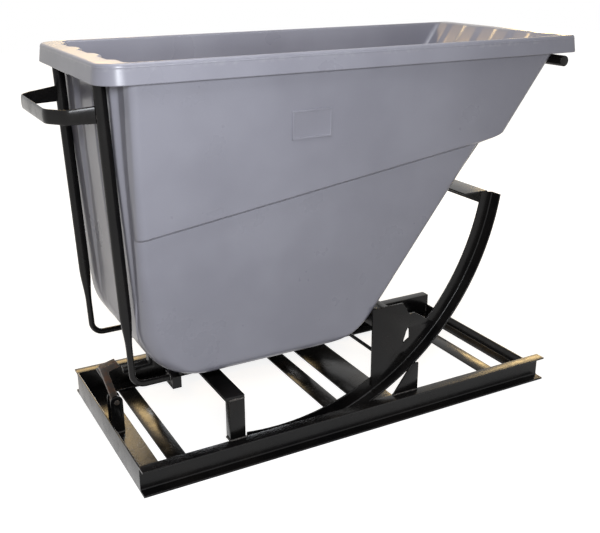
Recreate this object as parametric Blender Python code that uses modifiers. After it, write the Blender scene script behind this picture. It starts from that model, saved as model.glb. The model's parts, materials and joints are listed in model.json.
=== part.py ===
"""Self-dumping rocker hopper: a moulded tub in a rolling steel cradle on a channel-iron base.

X runs from the latch end to the dump end, Y across, Z up, in metres. The origin is on the
floor, under the middle of the whole hopper. Places along X are measured from the rear face
of the base, because every piece hangs from the empty "rear_face".
"""
import math

import bmesh
import bpy
from mathutils import Matrix, Vector

# ---- fits ------------------------------------------------------------------------------
SEAT = 0.0003              # gap between faces that touch
RUNNING = 0.0003           # radial clearance of the latch pin

# ---- base ------------------------------------------------------------------------------
BASE_LENGTH = 1.770
BASE_WIDTH = 0.860
RAIL_HEIGHT = 0.100        # 4 inch channel
RAIL_FLANGE = 0.044
RAIL_WEB = 0.005
RAIL_FLANGE_THICK = 0.007
FLAT_THICK = 0.006         # flat bars, angles and plates
REAR_ANGLE_FLOOR_LEG = 0.115
REAR_BAR_X = (0.148, 0.220)
MID_BAR_X = (0.830, 0.907)
MID_PLATE_X = (0.968, 1.126)
FRONT_CROSS_BAR_WIDTH = 0.074
FRONT_CROSS_BAR_INSET = 0.122   # from the front end of the rails
FRONT_ANGLE_LEG = 0.050
FRONT_ANGLE_INSET = 0.003  # behind the rail ends
TRACK_WIDTH = 0.058
TRACK_THICK = 0.006
TRACK_OVERHANG = 0.025     # past the first cross bar

SADDLE_BAR_X = (0.323, 0.396)
SADDLE_POST_X = (0.337, 0.396)
SADDLE_DEPTH = 0.036
SADDLE_TOP = 0.271
SADDLE_BAR_THICK = 0.012

LUG_FOOT_X = (1.025, 1.140)
LUG_TOP_WIDTH = 0.030
LUG_HEIGHT = 0.115
LUG_THICK = 0.008

# ---- rockers ---------------------------------------------------------------------------
ROLL_X = 0.548             # the rockers' centre, over their first contact with the floor bars
ROCKER_RADIUS = 0.967
ROCKER_WIDTH = 0.059       # radial width of the web
ROCKER_THICK = 0.006
ROCKER_FLANGE = 0.050
ROCKER_RAIL_GAP = 0.006    # the flanges run this far inside the rails
ROCKER_REAR_ANGLE = math.radians(-7.6)
ROCKER_TOP_ANGLE = math.radians(81.6)
ROCKER_STEPS = 45

STRUT_THICK = 0.008
STRUT_X = (0.955, 1.122)
STRUT_TIP = 0.118          # a strut plate reaches this far forward along the rocker
STRUT_SHOULDER = (0.027, 0.020)  # its top edge steps out and up to here before it falls to the tip
STRUT_WINDOW = ((0.026, 0.100), (-0.006, 0.082), (-0.004, 0.038), (0.006, 0.037))
STRUT_LAP = 0.030          # how far a strut plate laps down over the rocker web
STRUT_TOP = 0.455
STRUT_TOP_CUT = 0.030

ANGLE_LEG = 0.050
LOWER_ANGLE_TOP = 0.385
TOP_MEMBER_HEIGHT = 0.057
CROSS_ROD_RADIUS = 0.0075
CROSS_ROD_ANGLE = math.radians(33.4)

# ---- tub -------------------------------------------------------------------------------
TUB_WALL = 0.008
TUB_BOTTOM = 0.338
RIM_TOP = 1.422
RIM_DEPTH = 0.064
RIM_ROUND = 0.008
RIM_OVERHANG = 0.019       # beyond the side walls
RIM_REAR = -0.0325
RIM_FRONT = 1.812
RIM_REAR_CORNER = 0.085
RIM_FRONT_CORNER = 0.030

BODY_FLARE = 0.060         # the body under the rim is this much wider, each side, than the bottom
BODY_SIDE_DRAFT = 0.030    # the side walls lean out by this much per metre of height
TUB_ROCKER_GAP = 0.005     # the bottom stands this far inside the rockers
LOWER_SIDE_DRAFT = 0.052
BODY_REAR_TOP = 0.006      # rear wall just under the rim
BODY_REAR_STEP = 0.054
LOWER_REAR_STEP = 0.062
LOWER_REAR_BOTTOM = 0.075
BODY_REAR_CORNER = 0.075
BODY_FRONT_CORNER = 0.035

SLOPE_X = 0.997            # the lower front slope passes this point ...
SLOPE_Z = 0.472
SLOPE_ANGLE = math.radians(54.4)
BOTTOM_REAR_RADIUS = 0.200
BOTTOM_FRONT_RADIUS = 0.250
BOTTOM_SIDE_RADIUS = 0.040

STEP_REAR_HEIGHT = 0.869   # the moulded step climbs from here ...
STEP_RISE = 0.1366         # ... by this much per metre
STEP_HALF_HEIGHT = 0.012
STEP_FRONT = 0.083         # the front slope stands this much further out above the step

FLUTE_DEPTH = 0.0285       # the uprights' bay in the rear wall
FLUTE_HALF_WIDTH = 0.275
FLUTE_FLANK = 0.020

PLAQUE_X = (0.597, 0.747)
PLAQUE_Z = (1.141, 1.237)
PLAQUE_THICK = 0.003

ROLL_PLUG_RADIUS = 0.024
ROLL_PLUG_THICK = 0.006

# ---- tub frame -------------------------------------------------------------------------
TUBE_RADIUS = 0.0167       # 1 inch pipe
TUBE_Y = 0.248
SLOPE_TUBE_Y = 0.225
UPRIGHT_TOP_X = 0.011
UPRIGHT_TOP_Z = 1.396
UPRIGHT_BEND_X = 0.046
UPRIGHT_FOOT_Z = 0.327
UPRIGHT_BEND_RADIUS = 0.085

FOOT_BLOCK_X = (0.177, 0.210)
FOOT_BLOCK_Y = (0.205, 0.275)
FOOT_BLOCK_Z = (0.292, 0.336)
FOOT_BAR_DEPTH = 0.032
FOOT_BAR_HALF_WIDTH = 0.220
FOOT_BAR_Z = (0.304, 0.336)
RUNNER_Y = 0.130
RUNNER_WIDTH = 0.040
RUNNER_STEPS = 24          # fine enough for the tub's round to seat in
CRADLE_BAR_X = (0.965, 1.015)
CRADLE_BAR_HEIGHT = 0.050

SLOPE_TUBE_CLEARANCE = 0.002
FRONT_BAR_CENTRE_X = 1.748
FRONT_BAR_CENTRE_Z = 1.328
FRONT_BAR_RADIUS = 0.020
FRONT_BAR_INSET = 0.004    # its ends stand this far inside the rim

HANDLE_Z = (1.229, 1.275)  # a strap on edge
HANDLE_THICK = 0.009
HANDLE_REACH = 0.142       # past the rear face of the base
HANDLE_ARM_TAPER = 0.0245  # the arms draw together by this much
HANDLE_CORNER = (0.040, 0.050)   # how far each bevelled corner reaches along X and Y
HANDLE_BEND_RADIUS = 0.025

# ---- latch -----------------------------------------------------------------------------
LATCH_Y = 0.035
LATCH_HOOK_THICK = 0.032
CHEEK_THICK = 0.008
CHEEK_TOP_RADIUS = 0.024
LATCH_PIVOT_X = 0.052
LATCH_PIVOT_Z = 0.135
LATCH_PIN_RADIUS = 0.006
LATCH_PIN_HEAD_RADIUS = 0.010
LATCH_PIN_HEAD = 0.005
LATCH_RELEASED = math.radians(14.0)
HOOK_HUB_RADIUS = 0.018
HOOK_ARM_WIDTH = 0.024
HOOK_NOSE = 0.022          # how far the nose lies over the striker
HOOK_NOSE_HEIGHT = 0.024
HOOK_FILLET = 0.008
STRIKER_THICK = 0.020
STRIKER_REAR_X = 0.090
STRIKER_TOP_Z = 0.262
LATCH_CLEARANCE = 0.003    # between hook and striker when latched
LEVER_RADIUS = 0.006
LEVER_HEIGHT = 0.060       # above the latch pin
LEVER_LENGTH = 0.150

# ---- worked out from the above ---------------------------------------------------------
RAIL_INNER_Y = BASE_WIDTH / 2 - RAIL_FLANGE
ROCKER_WEB_Y = RAIL_INNER_Y - ROCKER_RAIL_GAP - ROCKER_FLANGE   # inner face of the web
LOWER_HALF_WIDTH_BOTTOM = ROCKER_WEB_Y - TUB_ROCKER_GAP
BODY_HALF_WIDTH_TOP = LOWER_HALF_WIDTH_BOTTOM + BODY_FLARE
RIM_HALF_WIDTH = BODY_HALF_WIDTH_TOP + RIM_OVERHANG
FRONT_BAR_HALF_WIDTH = RIM_HALF_WIDTH - FRONT_BAR_INSET
TRACK_BOTTOM = FLAT_THICK + SEAT
TRACK_TOP = TRACK_BOTTOM + TRACK_THICK
ROLL_Z = TRACK_TOP + SEAT + ROCKER_RADIUS
ROCKER_INNER_RADIUS = ROCKER_RADIUS - ROCKER_WIDTH
STRUT_Y = ROCKER_WEB_Y + ROCKER_THICK + SEAT
SLOPE_FOOT = SLOPE_X - SLOPE_Z / math.tan(SLOPE_ANGLE)   # where the slope would meet the floor
FOOT_BAR_X = (FOOT_BLOCK_X[1] + SEAT, FOOT_BLOCK_X[1] + SEAT + FOOT_BAR_DEPTH)
OVERALL_MIDDLE = (RIM_FRONT - HANDLE_REACH) / 2
HOLE_STEPS = 24

collection = bpy.data.collections.new("rocker_hopper")


# ---- building blocks -------------------------------------------------------------------
def clear_scene():
    for old in list(bpy.data.objects):
        bpy.data.objects.remove(old, do_unlink=True)
    bpy.context.scene.collection.children.link(collection)


def empty(name, location, parent=None):
    marker = bpy.data.objects.new(name, None)
    marker.location = location
    marker.parent = parent
    collection.objects.link(marker)
    return marker


def paint(name, colour, roughness, metallic):
    material = bpy.data.materials.new(name)
    material.use_nodes = True
    shader = material.node_tree.nodes["Principled BSDF"]
    shader.inputs["Base Color"].default_value = (*colour, 1.0)
    shader.inputs["Roughness"].default_value = roughness
    shader.inputs["Metallic"].default_value = metallic
    return material


def black_steel(name):
    return paint(name, (0.012, 0.012, 0.013), 0.28, 0.0)


def grey_plastic(name):
    return paint(name, (0.34, 0.34, 0.38), 0.45, 0.0)


def bare_steel(name):
    return paint(name, (0.42, 0.40, 0.37), 0.35, 0.9)


def add(name, data, parent, finish, location=(0, 0, 0), rotation=(0, 0, 0)):
    """Link one piece. Its location is given from the base's rear face, at floor level."""
    piece = bpy.data.objects.new(name, data)
    piece.parent = parent
    own_place = Vector(location)
    if parent is not rear_face:
        own_place -= parent.location
    piece.location = own_place
    piece.rotation_euler = rotation
    data.materials.append(finish(name))
    collection.objects.link(piece)
    return piece


def box(name, x, y, z, parent, finish):
    mesh = bpy.data.meshes.new(name)
    centre = Vector(((x[0] + x[1]) / 2, (y[0] + y[1]) / 2, (z[0] + z[1]) / 2))
    bm = bmesh.new()
    bmesh.ops.create_cube(bm, size=1.0)
    bmesh.ops.scale(bm, vec=(x[1] - x[0], y[1] - y[0], z[1] - z[0]), verts=bm.verts)
    bm.to_mesh(mesh)
    bm.free()
    return add(name, mesh, parent, finish, centre)


def extrusion(name, outline, axis, span, parent, finish, holes=()):
    """A flat outline with thickness: (x, z) points along Y, (y, z) along X or (x, y) along Z."""
    curve = bpy.data.curves.new(name, "CURVE")
    curve.dimensions = "2D"
    curve.fill_mode = "BOTH"
    curve.extrude = (span[1] - span[0]) / 2
    for loop in (outline, *holes):
        spline = curve.splines.new("POLY")
        spline.points.add(len(loop) - 1)
        for point, (u, v) in zip(spline.points, loop):
            point.co = (u, v, 0, 1)
        spline.use_cyclic_u = True
    middle = (span[0] + span[1]) / 2
    quarter = math.pi / 2
    place = [middle if letter == axis else 0 for letter in "XYZ"]
    turn = {"X": (quarter, 0, quarter), "Y": (quarter, 0, 0), "Z": (0, 0, 0)}[axis]
    return add(name, curve, parent, finish, place, turn)


def arc(centre, radius, start, end, steps):
    """Points on a circle; angles are measured from +u towards +v."""
    turns = [start + (end - start) * step / steps for step in range(steps + 1)]
    return [(centre[0] + radius * math.cos(a), centre[1] + radius * math.sin(a)) for a in turns]


def round_hole(centre, radius):
    return arc(centre, radius, 0, 2 * math.pi * (HOLE_STEPS - 1) / HOLE_STEPS, HOLE_STEPS - 1)


def round_path(corners, radius, steps=5):
    """A route through the corners, with an arc of the given radius at each inner one."""
    route = [Vector(corners[0])]
    for before, corner, after in zip(corners, corners[1:], corners[2:]):
        corner = Vector(corner)
        into = (corner - Vector(before)).normalized()
        out = (Vector(after) - corner).normalized()
        turn = into.angle(out)
        reach = radius * math.tan(turn / 2)
        side = (out - into * into.dot(out)).normalized()
        centre = corner - into * reach + side * radius
        for step in range(steps + 1):
            a = turn * step / steps
            route.append(centre - side * radius * math.cos(a) + into * radius * math.sin(a))
    route.append(Vector(corners[-1]))
    return route


def tube(name, corners, radius, bend_radius, parent, finish=black_steel):
    """A round bar or pipe along a route given from the base's rear face."""
    curve = bpy.data.curves.new(name, "CURVE")
    curve.dimensions = "3D"
    curve.bevel_depth = radius
    curve.bevel_resolution = 4
    curve.use_fill_caps = True
    route = round_path(corners, bend_radius)
    spline = curve.splines.new("POLY")
    spline.points.add(len(route) - 1)
    for point, place in zip(spline.points, route):
        point.co = (*(place - route[0]), 1)
    return add(name, curve, parent, finish, route[0])


def strap_outline(route, thick):
    """Both faces of a strap that is bent along a plan route."""
    left, right = [], []
    for before, point, after in zip([route[0], *route], route, [*route[1:], route[-1]]):
        along = (after - before).normalized()
        across = Vector((-along.y, along.x)) * thick / 2
        left.append(point + across)
        right.append(point - across)
    return left + right[::-1]


def turned(name, profile, parent, finish, location):
    """A round piece about an axis along Y. The profile is (radius, place along the axis)."""
    mesh = bpy.data.meshes.new(name)
    bm = bmesh.new()
    points = [bm.verts.new((radius, 0, along)) for radius, along in profile]
    for first, second in zip(points, points[1:]):
        bm.edges.new((first, second))
    bm.to_mesh(mesh)
    bm.free()
    piece = add(name, mesh, parent, finish, location, (math.pi / 2, 0, 0))
    screw = piece.modifiers.new("turn", "SCREW")
    screw.steps = screw.render_steps = 24
    screw.use_merge_vertices = True
    screw.merge_threshold = 0.0001
    return piece


def both_sides(maker):
    """Make a near and a far copy; Y is negative on the near side."""
    maker("near", -1)
    maker("far", 1)


def y_span(side, inner, outer):
    return (inner, outer) if side > 0 else (-outer, -inner)


# ---- base ------------------------------------------------------------------------------
def rail(label, side):
    web = RAIL_INNER_Y + RAIL_WEB
    tip = BASE_WIDTH / 2
    low = RAIL_FLANGE_THICK
    high = RAIL_HEIGHT - RAIL_FLANGE_THICK
    outline = [(RAIL_INNER_Y, 0), (tip, 0), (tip, low), (web, low),
               (web, high), (tip, high), (tip, RAIL_HEIGHT), (RAIL_INNER_Y, RAIL_HEIGHT)]
    outline = [(side * y, z) for y, z in outline]
    extrusion(f"{label}_rail", outline, "X", (0, BASE_LENGTH), rear_face, black_steel)


def rear_angle():
    outline = [(0, 0), (REAR_ANGLE_FLOOR_LEG, 0), (REAR_ANGLE_FLOOR_LEG, FLAT_THICK),
               (FLAT_THICK, FLAT_THICK), (FLAT_THICK, RAIL_HEIGHT), (0, RAIL_HEIGHT)]
    reach = RAIL_INNER_Y - SEAT
    extrusion("rear_angle", outline, "Y", (-reach, reach), rear_face, black_steel)


def front_angle():
    face = BASE_LENGTH - FRONT_ANGLE_INSET
    leg = FRONT_ANGLE_LEG
    outline = [(face, 0), (face, leg), (face - FLAT_THICK, leg),
               (face - FLAT_THICK, FLAT_THICK), (face - leg, FLAT_THICK), (face - leg, 0)]
    reach = RAIL_INNER_Y - SEAT
    extrusion("front_angle", outline, "Y", (-reach, reach), rear_face, black_steel)


def cross_bars():
    reach = RAIL_INNER_Y - SEAT
    front = BASE_LENGTH - FRONT_CROSS_BAR_INSET
    bars = {"rear_cross_bar": REAR_BAR_X, "mid_cross_bar": MID_BAR_X,
            "mid_cross_plate": MID_PLATE_X, "front_cross_bar": (front - FRONT_CROSS_BAR_WIDTH, front)}
    for name, x in bars.items():
        box(name, x, (-reach, reach), (0, FLAT_THICK), rear_face, black_steel)


def track(label, side):
    """Flat strip that the rocker rolls on, from the rear cross bar to the front angle."""
    start = REAR_BAR_X[0] - TRACK_OVERHANG
    end = BASE_LENGTH - FRONT_ANGLE_INSET - FLAT_THICK - SEAT
    outer = RAIL_INNER_Y - SEAT
    box(f"{label}_track", (start, end), y_span(side, outer - TRACK_WIDTH, outer),
        (TRACK_BOTTOM, TRACK_TOP), rear_face, black_steel)


def saddle_post(label, side):
    outer = RAIL_INNER_Y + RAIL_WEB
    box(f"{label}_saddle_post", SADDLE_POST_X, y_span(side, outer - SADDLE_DEPTH, outer),
        (RAIL_HEIGHT + SEAT, SADDLE_TOP - SADDLE_BAR_THICK - SEAT), rear_face, black_steel)


def saddle_bar():
    reach = RAIL_INNER_Y + RAIL_WEB
    box("saddle_bar", SADDLE_BAR_X, (-reach, reach), (SADDLE_TOP - SADDLE_BAR_THICK, SADDLE_TOP),
        rear_face, black_steel)


def guide_lug(label, side):
    foot = RAIL_HEIGHT + SEAT
    top = foot + LUG_HEIGHT
    outline = [(LUG_FOOT_X[0], foot), (LUG_FOOT_X[1], foot), (LUG_FOOT_X[1], top),
               (LUG_FOOT_X[1] - LUG_TOP_WIDTH, top)]
    span = y_span(side, RAIL_INNER_Y, RAIL_INNER_Y + LUG_THICK)
    extrusion(f"{label}_guide_lug", outline, "Y", span, rear_face, black_steel)


# ---- latch -----------------------------------------------------------------------------
def latch_cheek(label, side):
    pivot = (LATCH_PIVOT_X, LATCH_PIVOT_Z)
    radius = CHEEK_TOP_RADIUS
    foot = FLAT_THICK + SEAT
    outline = [(pivot[0] - radius, foot), (pivot[0] + radius, foot)]
    outline += arc(pivot, radius, 0, math.pi, 12)
    hole = round_hole(pivot, LATCH_PIN_RADIUS + RUNNING)
    inner = LATCH_HOOK_THICK / 2 + SEAT
    near, far = y_span(side, inner, inner + CHEEK_THICK)
    extrusion(f"latch_cheek_{label}", outline, "Y", (LATCH_Y + near, LATCH_Y + far),
              rear_face, black_steel, [hole])


def latch_pin():
    """Pin with a turned head, lying along Y through both cheeks."""
    reach = LATCH_HOOK_THICK / 2 + SEAT + CHEEK_THICK
    shank = LATCH_PIN_RADIUS
    head = LATCH_PIN_HEAD_RADIUS
    end = reach + SEAT + LATCH_PIN_HEAD
    profile = [(0, end), (head, end), (head, reach + SEAT), (shank, reach + SEAT),
               (shank, -end), (0, -end)]
    turned("latch_pin", profile, rear_face, bare_steel, (LATCH_PIVOT_X, LATCH_Y, LATCH_PIVOT_Z))


def latch_hook():
    """Hook about the pin, drawn latched in its own frame and leaned back by its parent."""
    hub = HOOK_HUB_RADIUS
    arm = HOOK_ARM_WIDTH / 2
    nose_low = STRIKER_TOP_Z + LATCH_CLEARANCE - LATCH_PIVOT_Z
    nose_high = nose_low + HOOK_NOSE_HEIGHT
    nose_tip = STRIKER_REAR_X + HOOK_NOSE - LATCH_PIVOT_X
    fillet = HOOK_FILLET
    shoulder = math.asin(arm / hub)
    outline = arc((0, 0), hub, math.pi / 2 + shoulder, math.pi * 2.5 - shoulder, 20)
    outline += arc((arm + fillet, nose_low - fillet), fillet, math.pi, math.pi / 2, 4)
    outline += [(nose_tip, nose_low), (nose_tip - fillet, nose_high), (fillet - arm, nose_high)]
    outline += arc((fillet - arm, nose_high - fillet), fillet, math.pi * 5 / 8, math.pi, 3)
    hole = round_hole((0, 0), LATCH_PIN_RADIUS + RUNNING)
    half = LATCH_HOOK_THICK / 2
    hook = extrusion("latch_hook", outline, "Y", (-half, half), latch_axis, bare_steel, [hole])
    hook.location = (0, 0, 0)


def latch_lever():
    """Foot bar welded to the far side of the hook's arm."""
    start = LATCH_HOOK_THICK / 2 + SEAT
    lever = tube("latch_lever", [(0, start, LEVER_HEIGHT), (0, start + LEVER_LENGTH, LEVER_HEIGHT)],
                 LEVER_RADIUS, 0, latch_axis)
    lever.location = (0, start, LEVER_HEIGHT)


def latch_striker():
    """Bracket on the foot bar, down its rear face and back to where the hook takes hold."""
    front = FOOT_BAR_X[0] - SEAT
    top = STRIKER_TOP_Z
    low = top - STRIKER_THICK
    outline = [(STRIKER_REAR_X, low), (front, low), (front, FOOT_BAR_Z[1]),
               (front - STRIKER_THICK, FOOT_BAR_Z[1]), (front - STRIKER_THICK, top),
               (STRIKER_REAR_X, top)]
    half = LATCH_HOOK_THICK / 2
    extrusion("latch_striker", outline, "Y", (LATCH_Y - half, LATCH_Y + half), roll_axis, black_steel)


# ---- rockers and cradle ----------------------------------------------------------------
def rocker(label, side):
    """Angle iron rolled to an arc: the web inboard, the flange outward along the outer edge."""
    web_in = side * ROCKER_WEB_Y
    web_out = side * (ROCKER_WEB_Y + ROCKER_THICK)
    tip = side * (ROCKER_WEB_Y + ROCKER_FLANGE)
    flange = ROCKER_RADIUS - ROCKER_THICK
    section = [(web_in, ROCKER_INNER_RADIUS), (web_out, ROCKER_INNER_RADIUS), (web_out, flange),
               (tip, flange), (tip, ROCKER_RADIUS), (web_in, ROCKER_RADIUS)]
    mesh = bpy.data.meshes.new(f"{label}_rocker")
    bm = bmesh.new()
    face = bm.faces.new([bm.verts.new((0, y, -radius)) for y, radius in section])
    swing = Matrix.Rotation(-ROCKER_REAR_ANGLE, 3, "Y")
    bmesh.ops.rotate(bm, verts=bm.verts, matrix=swing)
    bmesh.ops.spin(bm, geom=[face, *face.edges, *face.verts], cent=(0, 0, 0), axis=(0, -1, 0),
                   angle=ROCKER_TOP_ANGLE - ROCKER_REAR_ANGLE, steps=ROCKER_STEPS)
    bmesh.ops.recalc_face_normals(bm, faces=bm.faces)
    bm.to_mesh(mesh)
    bm.free()
    add(f"{label}_rocker", mesh, roll_axis, black_steel, (ROLL_X, 0, ROLL_Z))


def rocker_height(x, radius):
    """Height of an arc about the roll centre, at a place along X."""
    return ROLL_Z - math.sqrt(radius ** 2 - (x - ROLL_X) ** 2)


def strut_plate(label, side):
    """Plate from the rocker's web up beside the tub, lapped on the web's outer face."""
    lap = ROCKER_INNER_RADIUS + STRUT_LAP
    left, right = STRUT_X
    tip = right + STRUT_TIP
    shoulder = LOWER_ANGLE_TOP + STRUT_SHOULDER[1]
    outline = [(x, rocker_height(x, lap)) for x in (left, (left + right) / 2, right, tip)]
    outline += [(right + STRUT_SHOULDER[0], shoulder), (right, shoulder),
                (right - STRUT_TOP_CUT, STRUT_TOP), (left, STRUT_TOP)]
    window = [(right - back, LOWER_ANGLE_TOP - down) for back, down in STRUT_WINDOW]
    span = y_span(side, STRUT_Y, STRUT_Y + STRUT_THICK)
    extrusion(f"{label}_strut_plate", outline, "Y", span, roll_axis, black_steel, holes=[window])


def lower_cross_angle():
    """Angle between the two strut plates, with its upright leg at the front."""
    right = STRUT_X[1]
    top = LOWER_ANGLE_TOP
    outline = [(right, top), (right - ANGLE_LEG, top), (right - ANGLE_LEG, top - FLAT_THICK),
               (right - FLAT_THICK, top - FLAT_THICK), (right - FLAT_THICK, top - ANGLE_LEG),
               (right, top - ANGLE_LEG)]
    reach = STRUT_Y - SEAT
    extrusion("lower_cross_angle", outline, "Y", (-reach, reach), roll_axis, black_steel)


def top_cross_member():
    """Angle between the rocker tops, whose flat leg reaches back to the slope tubes."""
    top = ROLL_Z - ROCKER_INNER_RADIUS * math.cos(ROCKER_TOP_ANGLE)
    face = ROLL_X + (ROCKER_RADIUS - ROCKER_WIDTH / 2) * math.sin(ROCKER_TOP_ANGLE)
    foot, head = slope_tube_line()
    along = (head - foot).normalized()
    underside = foot + Vector((along.y, -along.x)) * (TUBE_RADIUS + SEAT)
    back = underside.x + (top - underside.y) * along.x / along.y
    outline = [(face, top), (back, top), (back, top - FLAT_THICK),
               (face - FLAT_THICK, top - FLAT_THICK), (face - FLAT_THICK, top - TOP_MEMBER_HEIGHT),
               (face, top - TOP_MEMBER_HEIGHT)]
    reach = ROCKER_WEB_Y - SEAT
    extrusion("top_cross_member", outline, "Y", (-reach, reach), roll_axis, black_steel)


def cross_rod():
    radius = (ROCKER_INNER_RADIUS + ROCKER_RADIUS) / 2
    x = ROLL_X + radius * math.sin(CROSS_ROD_ANGLE)
    z = ROLL_Z - radius * math.cos(CROSS_ROD_ANGLE)
    reach = ROCKER_WEB_Y - SEAT
    tube("cross_rod", [(x, -reach, z), (x, reach, z)], CROSS_ROD_RADIUS, 0, roll_axis)


def cradle_bar_top():
    """The bar's rear top edge just clears the round between bottom and slope."""
    centre_x, centre_z = front_round_centre()
    reach = BOTTOM_FRONT_RADIUS + SEAT
    return centre_z - math.sqrt(reach ** 2 - (CRADLE_BAR_X[0] - centre_x) ** 2)


def cradle_cross_bar():
    top = cradle_bar_top()
    reach = ROCKER_WEB_Y + ROCKER_THICK
    box("cradle_cross_bar", CRADLE_BAR_X, (-reach, reach), (top - CRADLE_BAR_HEIGHT, top),
        roll_axis, black_steel)


def slope_tube_line():
    """Ends of a slope tube's centre line, as (x, z): on the cradle bar and against the front bar.

    The tube clears the edge where the front slope steps out and the foot of the slope below it.
    """
    step_z = STEP_REAR_HEIGHT + STEP_RISE * (upper_front_x(0) - BODY_REAR_STEP)
    edge_z = step_z / (1 - STEP_RISE / math.tan(SLOPE_ANGLE))
    foot_z = front_round_centre()[1] - BOTTOM_FRONT_RADIUS * math.cos(SLOPE_ANGLE)
    bar = Vector((FRONT_BAR_CENTRE_X, FRONT_BAR_CENTRE_Z))
    routes = []
    for edge in (Vector((upper_front_x(edge_z), edge_z)), Vector((lower_front_x(foot_z), foot_z))):
        lean = math.asin((TUBE_RADIUS + SLOPE_TUBE_CLEARANCE) / (bar - edge).length)
        routes.append(Matrix.Rotation(lean, 2) @ (bar - edge).normalized())
    along = max(routes, key=lambda route: route.y)
    head = bar - along * (FRONT_BAR_RADIUS + SEAT)
    foot_z = cradle_bar_top() + SEAT + TUBE_RADIUS * along.x
    foot = head - along * (head.y - foot_z) / along.y
    return foot, head


def slope_tube(label, side):
    """Pipe under the front slope, from the cradle bar up to the bar below the rim."""
    foot, head = slope_tube_line()
    y = side * SLOPE_TUBE_Y
    tube(f"{label}_slope_tube", [(foot.x, y, foot.y), (head.x, y, head.y)], TUBE_RADIUS, 0, roll_axis)


def front_bar():
    x, z, reach = FRONT_BAR_CENTRE_X, FRONT_BAR_CENTRE_Z, FRONT_BAR_HALF_WIDTH
    tube("front_bar", [(x, -reach, z), (x, reach, z)], FRONT_BAR_RADIUS, 0, roll_axis)


def runner(label, side):
    """Bar under the tub that rests on the saddle and follows the bottom up to the cradle bar."""
    centre = front_round_centre()
    top_radius = BOTTOM_FRONT_RADIUS + SEAT
    low_radius = centre[1] - SADDLE_TOP - SEAT
    end = CRADLE_BAR_X[0] - SEAT
    down = -math.pi / 2
    low_end = down + math.asin((end - centre[0]) / low_radius)
    top_end = down + math.asin((end - centre[0]) / top_radius)
    start = FOOT_BAR_X[1] + SEAT
    outline = [(start, centre[1] - low_radius)]
    outline += arc(centre, low_radius, down, low_end, RUNNER_STEPS)
    outline += arc(centre, top_radius, top_end, down, RUNNER_STEPS)
    outline += [(start, centre[1] - top_radius)]
    span = y_span(side, RUNNER_Y - RUNNER_WIDTH / 2, RUNNER_Y + RUNNER_WIDTH / 2)
    extrusion(f"{label}_runner", outline, "Y", span, roll_axis, black_steel)


def foot_bar():
    reach = FOOT_BAR_HALF_WIDTH
    box("foot_bar", FOOT_BAR_X, (-reach, reach), FOOT_BAR_Z, roll_axis, black_steel)


def foot_block(label, side):
    """Short block that joins an upright's foot to the foot bar."""
    box(f"{label}_foot_block", FOOT_BLOCK_X, y_span(side, *FOOT_BLOCK_Y), FOOT_BLOCK_Z,
        roll_axis, black_steel)


def upright_x(z):
    """Centre line of the straight part of an upright."""
    share = (z - UPRIGHT_FOOT_Z) / (UPRIGHT_TOP_Z - UPRIGHT_FOOT_Z)
    return UPRIGHT_BEND_X + (UPRIGHT_TOP_X - UPRIGHT_BEND_X) * share


def upright(label, side):
    y = side * TUBE_Y
    corners = [(UPRIGHT_TOP_X, y, UPRIGHT_TOP_Z), (UPRIGHT_BEND_X, y, UPRIGHT_FOOT_Z),
               (FOOT_BLOCK_X[0] - SEAT, y, UPRIGHT_FOOT_Z)]
    tube(f"{label}_upright", corners, TUBE_RADIUS, UPRIGHT_BEND_RADIUS, roll_axis)


def push_handle():
    """Steel strap on edge, bent round from one upright to the other."""
    near = upright_x(HANDLE_Z[1]) - TUBE_RADIUS - SEAT
    back = HANDLE_THICK / 2 - HANDLE_REACH
    corner = back + HANDLE_CORNER[0]
    wide = TUBE_Y - HANDLE_ARM_TAPER
    narrow = wide - HANDLE_CORNER[1]
    corners = [(near, -TUBE_Y), (corner, -wide), (back, -narrow),
               (back, narrow), (corner, wide), (near, TUBE_Y)]
    route = round_path(corners, HANDLE_BEND_RADIUS)
    extrusion("push_handle", strap_outline(route, HANDLE_THICK), "Z", HANDLE_Z, roll_axis, black_steel)


# ---- tub -------------------------------------------------------------------------------
def front_round_centre():
    """Centre of the round between the flat bottom and the front slope."""
    corner_x = SLOPE_X + (TUB_BOTTOM - SLOPE_Z) / math.tan(SLOPE_ANGLE)
    tangent = BOTTOM_FRONT_RADIUS * math.tan(SLOPE_ANGLE / 2)
    return (corner_x - tangent, TUB_BOTTOM + BOTTOM_FRONT_RADIUS)


def round_inset(height, radius):
    """How far a wall is drawn in by a bottom edge's round, at a height over the bottom."""
    if height >= radius:
        return 0.0
    return radius - math.sqrt(radius ** 2 - (radius - height) ** 2)


def upper_front_x(z):
    """The front slope above the step."""
    return SLOPE_FOOT + STEP_FRONT + z / math.tan(SLOPE_ANGLE)


def lower_front_x(z):
    """The front surface below the step: the slope, and under it the round into the bottom."""
    centre_x, centre_z = front_round_centre()
    tangent_z = centre_z - BOTTOM_FRONT_RADIUS * math.cos(SLOPE_ANGLE)
    if z >= tangent_z:
        return SLOPE_FOOT + z / math.tan(SLOPE_ANGLE)
    return centre_x + math.sqrt(max(0.0, BOTTOM_FRONT_RADIUS ** 2 - (centre_z - z) ** 2))


def body_half_width(z):
    """Outer face of the side wall above the step."""
    return BODY_HALF_WIDTH_TOP + BODY_SIDE_DRAFT * (z - (RIM_TOP - RIM_DEPTH))


def lower_half_width(z):
    """Outer face of the side wall below the step."""
    return LOWER_HALF_WIDTH_BOTTOM + LOWER_SIDE_DRAFT * (z - TUB_BOTTOM)


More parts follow.
